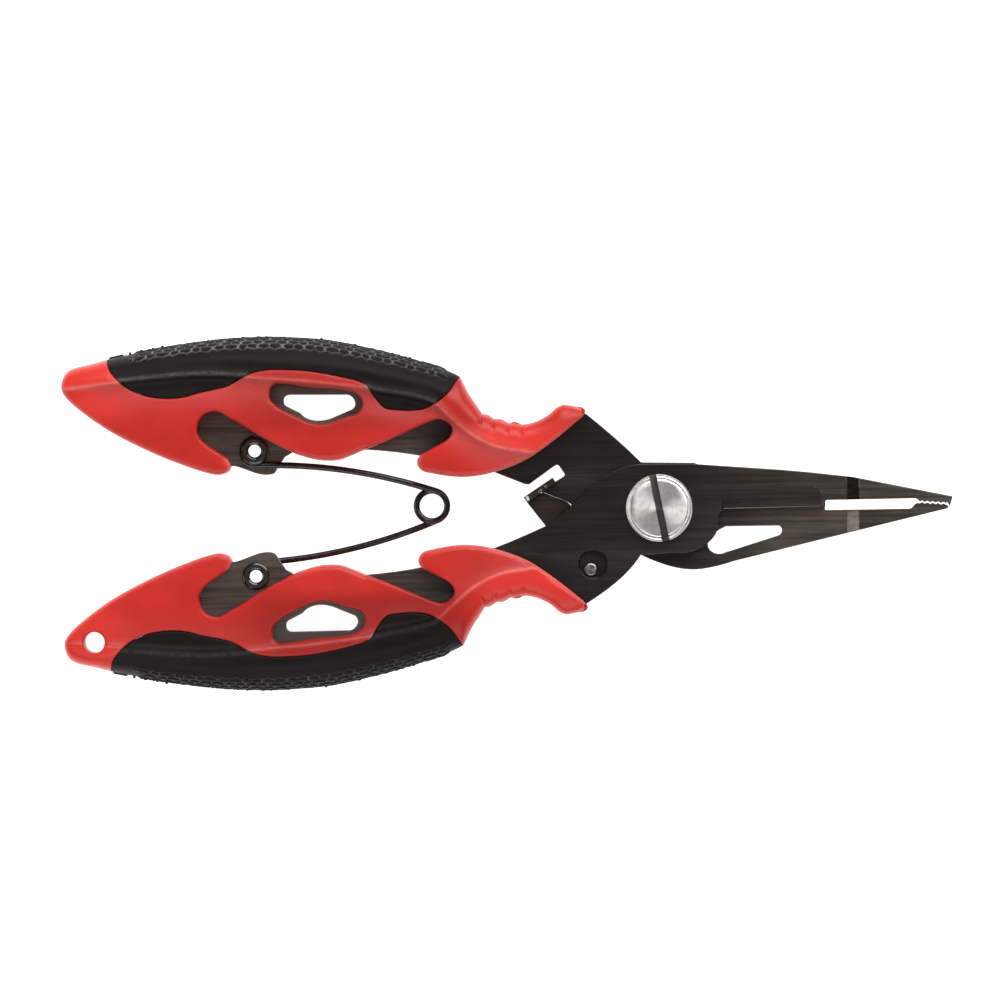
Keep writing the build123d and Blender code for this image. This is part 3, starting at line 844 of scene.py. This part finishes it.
def grip_section(x):
    """The smooth section at X: how far along it each point lies, its (Y, Z), and which way is out."""
    high = along_line(outer_edge, x)
    low = min(along_line(grip_line, x) + SEAM_GAP, high - 0.01)
    y = low + (high - low) * np.sin(np.linspace(0, math.pi / 2, SECTION_FINE))
    z = face_height(np.column_stack([np.full_like(y, x), y])) - rounding(y - low, ROUND_SEAM)
    path = np.column_stack([y, np.clip(z, 0, None)])
    path[-1, 1] = min(path[-1, 1], HALF_THICK)
    if path[-1, 1] > 1e-3:
        path = np.vstack([path, (high, 0)])
    steps = np.concatenate([[0], np.cumsum(np.linalg.norm(np.diff(path, axis=0), axis=1))])
    pad = min(PAD_REACH, steps[-1] * 0.8)
    up = np.concatenate([np.linspace(0, pad, SECTION_PAD, endpoint=False),
                         np.linspace(pad, steps[-1], SECTION_FACE)])
    at = np.column_stack([np.interp(steps[-1] - up, steps, path[:, k]) for k in (0, 1)])
    slope = np.gradient(at, up, axis=0)
    slope /= np.maximum(np.hypot(*slope.T), 1e-9)[:, None]
    return up, at, np.column_stack([slope[:, 1], -slope[:, 0]])


def build_grip(name, body, node, lower, material):
    stations = np.arange(TAIL_CORNER[0] + 0.02, NOSE[0] - 0.02, SECTION_STEP)
    lengths = np.hypot(np.diff(stations), np.diff(along_line(outer_edge, stations)))
    runs = np.concatenate([[0], np.cumsum(lengths)])
    rings = []
    dusts_and_highlights = []
    shades = []
    for x, run in zip(stations, runs):
        up, at, outward = grip_section(x)
        flash = flash_relief(up, x)
        halves = []
        for facing, shift in ((1, 0), (-1, SCALE_LONG / 3)):
            relief, dust, dark = scale_relief(run + shift, up, x)
            lifted = at + outward * (relief + flash)[:, None]
            z = facing * np.minimum(lifted[:, 1], HALF_THICK)
            halves.append((np.column_stack([np.full_like(z, x), lifted[:, 0], z]), dust, dark))
        front, back = halves
        # the dust between the scales, and a painted highlight along the crease
        front_dust_and_highlight = front[1] + CREASE_HIGHLIGHT * bell(at[:, 0] - along_line(crease, x) - 0.35, 0.25)
        rings.append(np.vstack([front[0][::-1], back[0][1:]]))
        dusts_and_highlights.append(np.concatenate([front_dust_and_highlight[::-1], back[1][1:]]))
        deep = 0.35 * rise(x, -50, -36)
        shades.append(np.maximum(np.concatenate([front[2][::-1], back[2][1:]]), deep))
    rings = np.array(rings)
    if lower:
        rings[:, :, 1] *= -1
    obj = swept(name, rings)
    # dust and the painted crease highlight, both weaker on the lower handle
    paint(obj, "dust_and_crease_highlight", np.concatenate(dusts_and_highlights) * (0.4 if lower else 1.0))
    paint(obj, "shade", np.concatenate(shades))
    sharpen(obj, GRIP_SHARP)
    finish_piece(obj, body, material, node)


# Steel pieces: the CAD shape with its edges broken ----------------------------------------------------

JOGGLE = (26.05, 27.85)
BLADE = (8.7, 22.6)
BLADE_TOP = 2.8
GROUND_DEEP = 0.345                 # how far below the plate's face the blade's ground face ends
WINDOW_MIDDLE = (-48.0, 14.8)
WINDOW_HALF = (6.5, 2.7)
RIVET_AT = (-10.0, -8.45)
RECESS_AT = (-9.65, -7.7)
RECESS_R = 2.0
LEVER_GLINTS = (                      # painted glints on the lever's tab: x, y, z, radius and how bright
    (-18.8, 1.75, 2.2, 0.3, 1.0),
    (-18.68, 1.5, 2.2, 0.28, 1.0),
    (-16.85, 2.8, 2.24, 0.2, 0.35),
    (-17.1, 2.55, 2.24, 0.18, 0.35),
    (-16.2, 3.3, 2.28, 0.28, 0.22),
)
LEVER_EDGE = ((-16.72, 2.36), (-13.2, 0.95))
LEVER_NUDGE = (0.125, 0.165)
AT_CORNER = 0.02
TEETH_START = 35.0
EASED_ANGLE = math.radians(28)
FLAT_ANGLE = math.radians(1.0)
EXPORT_WELD = 2e-6
UPRIGHT = 0.7                       # an edge that rises this much for its length is an upright one
WEIGHT_BY_AREA = 80


def nudge_lever_edge(mesh):
    """Brings the lever's edge up to a hair's breadth of the back arm's tooth."""
    (ax, ay), (bx, by) = LEVER_EDGE
    long = math.hypot(bx - ax, by - ay)
    for vertex in mesh.vertices:
        x, y = ((vertex.co - origin) / MM).xy
        for (cx, cy), nudge in zip(LEVER_EDGE, LEVER_NUDGE):
            if math.hypot(x - cx, y - cy) < AT_CORNER:
                vertex.co.x += nudge * (ay - by) / long * MM
                vertex.co.y += nudge * (bx - ax) / long * MM


def mark_edges(shape, stamped):
    """Marks the edges to ease; a stamped piece keeps its upright edges and its teeth sharp."""
    weight = shape.edges.layers.float.new("bevel_weight_edge")
    for edge in shape.edges:
        if len(edge.link_faces) != 2 or edge.calc_face_angle() < EASED_ANGLE:
            continue
        a, b = (vertex.co for vertex in edge.verts)
        upright = abs(a.z - b.z) > UPRIGHT * (a - b).length
        at_teeth = (min(a.x, b.x) - origin.x) / MM > TEETH_START
        if stamped and (upright or at_teeth):
            edge.smooth = False
        else:
            edge[weight] = 1.0


def paint_steel(obj, node):
    """Where painted shade darkens the plates, in the rivet's recess, on the front arm's joggle, its ground
    blade and the back arm's tip, and where a painted highlight lightens them: the blade's lower edge, the
    back joggle, the front arm's tip and the ring round each window.
    """
    x, y, z = drawing_points(obj).T
    joggle = (x > JOGGLE[0] + 0.01) & (x < JOGGLE[1] - 0.01)
    tip = x > JOGGLE[1] + 0.05
    # painted highlight on the back arm's joggle, brighter towards its lower side
    lighter = joggle * (0.1 + 0.25 * (y < -2.5))
    if node == "front_arm":
        down = PLATE_TOP - z
        sunk = (np.hypot(x - RECESS_AT[0], y - RECESS_AT[1]) < RECESS_R + 0.02) & (down > 0.1)
        blade = (x > BLADE[0]) & (x < BLADE[1])
        ground = blade & (y < BLADE_TOP) & (down > 0.01) & (down < GROUND_DEEP)
        edge = blade & (y < 0.12) & (down > GROUND_DEEP) & (down < 0.6)
        # painted shade in the rivet's recess, on the joggle and on the ground blade
        paint(obj, "shade", sunk * 0.5 + joggle * 0.8 + ground * 0.4)
        # painted highlight along the blade's lower edge, and a little lighter at the tip
        lighter = edge + tip * 0.06
    if node == "back_arm":
        # painted shade at the back arm's tip
        paint(obj, "shade", tip * 0.33)
    # painted highlight on the ring round each window
    rim = np.abs(x - WINDOW_MIDDLE[0]) < WINDOW_HALF[0]
    rim &= np.abs(np.abs(y) - WINDOW_MIDDLE[1]) < WINDOW_HALF[1]
    paint(obj, "painted_highlight", lighter + rim * 0.4)


def build_eased(name, body, node, material, width, segments, stamped):
    """A copy of a CAD node with flats made whole and edges eased; a stamped one only round its rims."""
    mesh = frame["nodes"][node].data.copy()
    mesh.name = name
    obj = bpy.data.objects.new(name, mesh)
    bpy.context.scene.collection.objects.link(obj)
    shape = bmesh.new()
    shape.from_mesh(mesh)
    bmesh.ops.remove_doubles(shape, verts=shape.verts, dist=EXPORT_WELD)
    bmesh.ops.dissolve_limit(shape, angle_limit=FLAT_ANGLE, verts=shape.verts, edges=shape.edges)
    mark_edges(shape, stamped)
    shape.to_mesh(mesh)
    shape.free()
    if node == "lock_lever":
        nudge_lever_edge(mesh)
    bevel = obj.modifiers.new("ease", "BEVEL")
    bevel.width = width * MM
    bevel.segments = segments
    bevel.limit_method = "WEIGHT"
    bevel.use_clamp_overlap = not stamped
    weighted = obj.modifiers.new("weigh", "WEIGHTED_NORMAL")
    weighted.mode = "FACE_AREA"
    weighted.weight = WEIGHT_BY_AREA
    weighted.keep_sharp = True
    mesh.shade_smooth()
    obj.data = evaluated(obj)
    paint_steel(obj, node)
    finish_piece(obj, body, material, node)


# Spring: one wire from eyelet to eyelet ---------------------------------------------------------------

WIRE_R = 0.45
COIL_AT = (-32.2, 0.75)
COIL_R = 2.15
SPRING_Z = 0.63
LEG_BOW_R = 75.0
LOOP_R = 1.9
LOOP_TURN = 165
EYELET_AT = (-57.0, 8.8)
LOOP_OFFSET = (0.20, -0.13)
WIRE_SIDES = 20
WIRE_CAP = np.radians((80, 55, 30, 10))
COIL_SETTLE = 0.02                  # the coil's rise is a little slower at its two ends


def leg_ends(side, loop_at):
    """Where a leg bowed to one radius touches the coil and the loop, and the bow's centre."""
    coil = np.array(COIL_AT)
    loop = np.array(loop_at)
    to_coil = LEG_BOW_R - COIL_R
    to_loop = LEG_BOW_R + LOOP_R
    apart = np.linalg.norm(loop - coil)
    along = (to_coil ** 2 - to_loop ** 2 + apart ** 2) / (2 * apart)
    away = math.sqrt(to_coil ** 2 - along ** 2)
    u = (loop - coil) / apart
    bow = coil + along * u + side * away * np.array((-u[1], u[0]))
    at_coil = bow + (coil - bow) / np.linalg.norm(coil - bow) * LEG_BOW_R
    at_loop = bow + (loop - bow) / np.linalg.norm(loop - bow) * LEG_BOW_R
    return at_coil, at_loop, bow


def arc_points(centre, start, degrees, step=0.12):
    """Points along an arc from a start point."""
    centre = np.asarray(centre, float)
    arm = np.asarray(start, float) - centre
    count = max(8, int(abs(math.radians(degrees)) * np.linalg.norm(arm) / step))
    turns = np.radians(np.linspace(0, degrees, count))
    return np.column_stack([centre[0] + arm[0] * np.cos(turns) - arm[1] * np.sin(turns),
                            centre[1] + arm[0] * np.sin(turns) + arm[1] * np.cos(turns)])


def angle_of(point, centre):
    return math.degrees(math.atan2(point[1] - centre[1], point[0] - centre[0]))


def spring_path():
    """The wire's middle line: upper loop, upper leg, coil, lower leg, lower loop."""
    upper_loop = (EYELET_AT[0] + LOOP_OFFSET[0], EYELET_AT[1] + LOOP_OFFSET[1])
    lower_loop = (EYELET_AT[0], -EYELET_AT[1])
    parts = {}
    for side, loop in ((1, upper_loop), (-1, lower_loop)):
        at_coil, at_loop, bow = leg_ends(side, loop)
        swing = (angle_of(at_loop, bow) - angle_of(at_coil, bow) + 180) % 360 - 180
        leg = arc_points(bow, at_coil, swing, step=0.5)
        curl = arc_points(loop, at_loop, -side * LOOP_TURN)
        flat = np.vstack([leg, curl[1:]])
        parts[side] = (at_coil, np.column_stack([flat, np.full(len(flat), side * SPRING_Z)]))
    start, upper = parts[1]
    end, lower = parts[-1]
    turn = -((angle_of(start, COIL_AT) - angle_of(end, COIL_AT)) % 360) - 360
    coil = arc_points(COIL_AT, start, turn)
    fallen = np.linspace(0, 1, len(coil))
    fallen = fallen - np.sin(2 * math.pi * fallen) * COIL_SETTLE
    coil = np.column_stack([coil, SPRING_Z * (1 - 2 * fallen)])
    return np.vstack([upper[::-1], coil[1:-1], lower])


def tube(name, path, radius):
    """A wire of one thickness along a path, with rounded ends."""
    tangents = np.gradient(path, axis=0)
    tangents /= np.linalg.norm(tangents, axis=1)[:, None]
    spin = np.linspace(0, 2 * math.pi, WIRE_SIDES, endpoint=False)

    def ring(centre, tangent, size):
        side = np.cross(tangent, (0, 0, 1.0))
        side /= np.linalg.norm(side)
        up = np.cross(side, tangent)
        return [centre + size * (math.cos(a) * side + math.sin(a) * up) for a in spin]

    def cap(end, way):
        tangent = tangents[end]
        return [ring(path[end] + way * tangent * radius * math.sin(a), tangent, radius * math.cos(a))
                for a in WIRE_CAP]

    rings = cap(0, -1) + [ring(point, tangent, radius) for point, tangent in zip(path, tangents)]
    obj = swept(name, rings + cap(-1, 1)[::-1])
    sharpen(obj, 60)
    return obj


def build_spring(material):
    obj = tube("return_spring", spring_path(), WIRE_R)
    obj.data.materials.append(material)
    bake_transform(obj)
    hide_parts("spring_lower_leg", "spring_upper_leg")


# Turned pieces ----------------------------------------------------------------------------------------

EYELET_BORE_R = 0.88
EYELET_FLANGE_R = 1.95
EYELET_WAIST_R = 1.02
EYELET_LIP = 0.35
SLOT_WIDE = 1.0
SLOT_DEEP = 0.7
SLOT_LONG = 14.0
SLOT_TILT = math.radians(101)
SLOT_EASE = 0.05
HEAD_RIM = (                        # radius, and how far below the head's top
    (0.0, -0.03), (1.5, -0.022), (3.2, 0.0), (3.92, 0.015), (4.0, 0.06),
    (4.06, 0.2), (4.14, 0.21), (4.2, 0.15), (4.32, 0.14), (4.42, 0.19),
    (4.46, 0.27), (4.51, 0.28), (4.58, 0.27), (4.68, 0.36), (4.74, 0.5), (4.75, 0.7),
)
SHANK_R = 2.5
RIVET_DOME = 0.38
RIVET_DOME_R = 0.95
RIVET_SHADE = 0.87


def build_eyelet(name, body, node, over, material):
    """A rolled flange on each side, and a smooth bore."""
    bottom, top = drawing_heights(node)
    if over:
        bottom, top = -top, -bottom
    bottom += EYELET_LIP
    top -= EYELET_LIP
    roll = (EYELET_FLANGE_R - EYELET_BORE_R) / 2
    middle = EYELET_BORE_R + roll
    profile = [(EYELET_BORE_R, bottom), (EYELET_BORE_R, top)]
    profile += [(middle - roll * math.cos(a), top + EYELET_LIP * math.sin(a))
                for a in np.radians(np.linspace(12, 172, 13))]
    profile += [(EYELET_FLANGE_R, top), (EYELET_WAIST_R, top - 0.02), (EYELET_WAIST_R, bottom + 0.02),
                (EYELET_FLANGE_R, bottom)]
    profile += [(middle + roll * math.cos(a), bottom - EYELET_LIP * math.sin(a))
                for a in np.radians(np.linspace(8, 168, 13))]
    facing = -1 if over else 1
    profile = [(r, facing * z) for r, z in profile]
    obj = lathe(name, profile, (EYELET_AT[0], facing * EYELET_AT[1]), segments=72)
    sharpen(obj, 50)
    finish_piece(obj, body, material, node)


def slot_cutter(top):
    """A bar that mills the screwdriver slot across the head."""
    mill = bpy.data.meshes.new("mill")
    shape = bmesh.new()
    bmesh.ops.create_cube(shape, size=1.0)
    cos, sin = math.cos(SLOT_TILT), math.sin(SLOT_TILT)
    for vertex in shape.verts:
        x, y, z = np.array(vertex.co) * (SLOT_LONG, SLOT_WIDE, 2 * SLOT_DEEP)
        vertex.co = metres((PIVOT_AT[0] + x * cos - y * sin, PIVOT_AT[1] + x * sin + y * cos, top + z))
    shape.to_mesh(mill)
    shape.free()
    cutter = bpy.data.objects.new("mill", mill)
    bpy.context.scene.collection.objects.link(cutter)
    return cutter


def build_screw(material):
    """A turned head with a stepped rim and a milled slot, on a plain shank."""
    bottom, top = drawing_heights("pivot_screw")
    under = PLATE_TOP + 0.02
    profile = [(radius, top - down) for radius, down in HEAD_RIM]
    profile += [(4.75, under + 0.12), (4.66, under), (SHANK_R, under)]
    profile += [(SHANK_R, bottom + 0.25), (SHANK_R - 0.25, bottom), (0.0, bottom)]
    obj = lathe("screw", profile, PIVOT_AT, segments=160)
    cutter = slot_cutter(top)
    cut = obj.modifiers.new("slot", "BOOLEAN")
    cut.operation = "DIFFERENCE"
    cut.object = cutter
    cut.solver = "EXACT"
    ease = obj.modifiers.new("ease", "BEVEL")
    ease.width = SLOT_EASE * MM
    ease.segments = 2
    ease.limit_method = "ANGLE"
    ease.angle_limit = math.radians(50)
    obj.data = evaluated(obj)
    bpy.data.objects.remove(cutter)
    sharpen(obj, 30)
    points = drawing_points(obj)
    away = (points[:, :2] - PIVOT_AT) @ np.array((-math.sin(SLOT_TILT), math.cos(SLOT_TILT)))
    milled = (np.abs(away) < SLOT_WIDE / 2 + 0.01) & (points[:, 2] > under) & (points[:, 2] < top - 0.06)
    paint(obj, "shade", milled)
    finish_piece(obj, "front_half", material, "pivot_screw")


def build_rivet(material):
    """A low dome in the recess, a shank, and a flat head behind."""
    bottom, top = drawing_heights("lock_rivet")
    waist = top - RIVET_DOME
    profile = [(0.0, top)]
    profile += [(RIVET_DOME_R * math.sin(a) ** 0.8, waist + RIVET_DOME * math.cos(a) ** 0.6)
                for a in np.radians(np.linspace(6, 90, 16))]
    profile += [(0.75, waist - 0.01), (0.75, bottom + 0.55)]
    profile += [(1.42, bottom + 0.55), (1.5, bottom + 0.47), (1.5, bottom + 0.12), (1.38, bottom)]
    profile.append((0.0, bottom))
    obj = lathe("rivet", profile, RIVET_AT, segments=48)
    sharpen(obj, 40)
    paint(obj, "shade", np.full(len(obj.data.vertices), RIVET_SHADE))
    finish_piece(obj, "front_half", material, "lock_rivet")


# Setting ----------------------------------------------------------------------------------------------

CAMERA_AWAY = 1.5
VIEW_ACROSS = 0.1406
VIEW_MIDDLE = (-22.62, 1.46, 0)
VIEW_TILT = math.radians(-0.75)
SENSOR = 36.0
FLOOR_HALF = 1.5
FLOOR_Z = -0.0002
LIGHTS = (                          # name, place, width, height and power; all aim at the part
    ("key", (0.24, 0.56, 0.52), 0.8, 0.45, 7.5),
    ("top", (0.0, 0.0, 1.9), 1.9, 1.9, 3.5),
    ("fill", (0.0, -0.60, 0.50), 0.7, 0.4, 2.8),
    ("left", (-0.75, 0.0, 0.36), 0.6, 0.3, 1.8),
)


def build_floor():
    """Pale paper under the part."""
    mesh = bpy.data.meshes.new("floor")
    corners = [(x * FLOOR_HALF, y * FLOOR_HALF, 0) for x, y in ((-1, -1), (1, -1), (1, 1), (-1, 1))]
    mesh.from_pydata(corners, [], [(0, 1, 2, 3)])
    floor = bpy.data.objects.new("floor", mesh)
    floor.location.z = FLOOR_Z
    bpy.context.scene.collection.objects.link(floor)
    n = Nodes("floor_paper")
    n.colour(n.ramp(n.noise((0.4, 0.4, 0.4), detail=3.0), (0.3, 0.56), (0.7, 0.60)))
    n.set(Roughness=0.9, Specular_IOR_Level=0.1)
    n.set(Emission_Color=(1, 1, 1, 1), Emission_Strength=0.95)
    mesh.materials.append(n.material)


def build_stage():
    """Plain pale floor and soft light, with the camera straight above."""
    build_floor()
    world = bpy.data.worlds.new("studio")
    bpy.context.scene.world = world
    world.use_nodes = True
    world.node_tree.nodes["Background"].inputs["Color"].default_value = (1, 1, 1, 1)
    world.node_tree.nodes["Background"].inputs["Strength"].default_value = 0.10
    for name, place, wide, high, power in LIGHTS:
        light = bpy.data.lights.new(name, "AREA")
        light.shape = "RECTANGLE"
        light.size = wide
        light.size_y = high
        light.energy = power
        obj = bpy.data.objects.new(name, light)
        obj.location = place
        obj.rotation_euler = (-Vector(place)).to_track_quat("-Z", "Y").to_euler()
        bpy.context.scene.collection.objects.link(obj)
    camera = bpy.data.objects.new("camera", bpy.data.cameras.new("camera"))
    bpy.context.scene.collection.objects.link(camera)
    bpy.context.scene.camera = camera
    camera.data.sensor_width = SENSOR
    camera.data.lens = SENSOR * CAMERA_AWAY / VIEW_ACROSS
    camera.location = Vector(metres(VIEW_MIDDLE)) + Vector((0, 0, CAMERA_AWAY))
    camera.rotation_euler = (0, 0, VIEW_TILT)
    camera.data.clip_start = 0.01
    camera.data.clip_end = 10.0
    bpy.context.scene.view_settings.view_transform = "Standard"


def main():
    steel = steel_material("arm_steel", (0.023, 0.0215, 0.021), (0.045, 0.0415, 0.0395),
                           (0.148, 0.120, 0.101))
    lever_steel = steel_material("lever_steel", (0.028, 0.021, 0.017), (0.064, 0.048, 0.038),
                                 (0.085, 0.063, 0.049), LEVER_GLINTS)
    bright = bright_material()
    red = red_material()
    rubber = rubber_material()
    build_shell("red_shell_upper", "back_half", "upper_handle_shell", False, red)
    build_shell("red_shell_lower", "front_half", "lower_handle_shell", True, red)
    build_grip("rubber_grip_upper", "back_half", "upper_grip", False, rubber)
    build_grip("rubber_grip_lower", "front_half", "lower_grip", True, rubber)
    for name, body, node, material, width in (
        ("front_plate", "front_half", "front_arm", steel, 0.13),
        ("back_plate", "back_half", "back_arm", steel, 0.13),
        ("lever", "lever", "lock_lever", lever_steel, 0.08),
    ):
        build_eased(name, body, node, material, width, 2, True)
    build_screw(bright)
    for name, node, width, segments in (
        ("nut", "pivot_nut", 0.25, 3),
        ("washer", "pivot_washer", 0.08, 2),
        ("friction_washer", "lock_washer", 0.08, 2),
    ):
        build_eased(name, "front_half", node, bright, width, segments, False)
    build_rivet(bright)
    lacquer = lacquer_material()
    build_eyelet("eyelet_upper", "back_half", "upper_eyelet", False, lacquer)
    build_eyelet("eyelet_lower", "front_half", "lower_eyelet", True, lacquer)
    build_spring(wire_material())
    build_stage()


main()
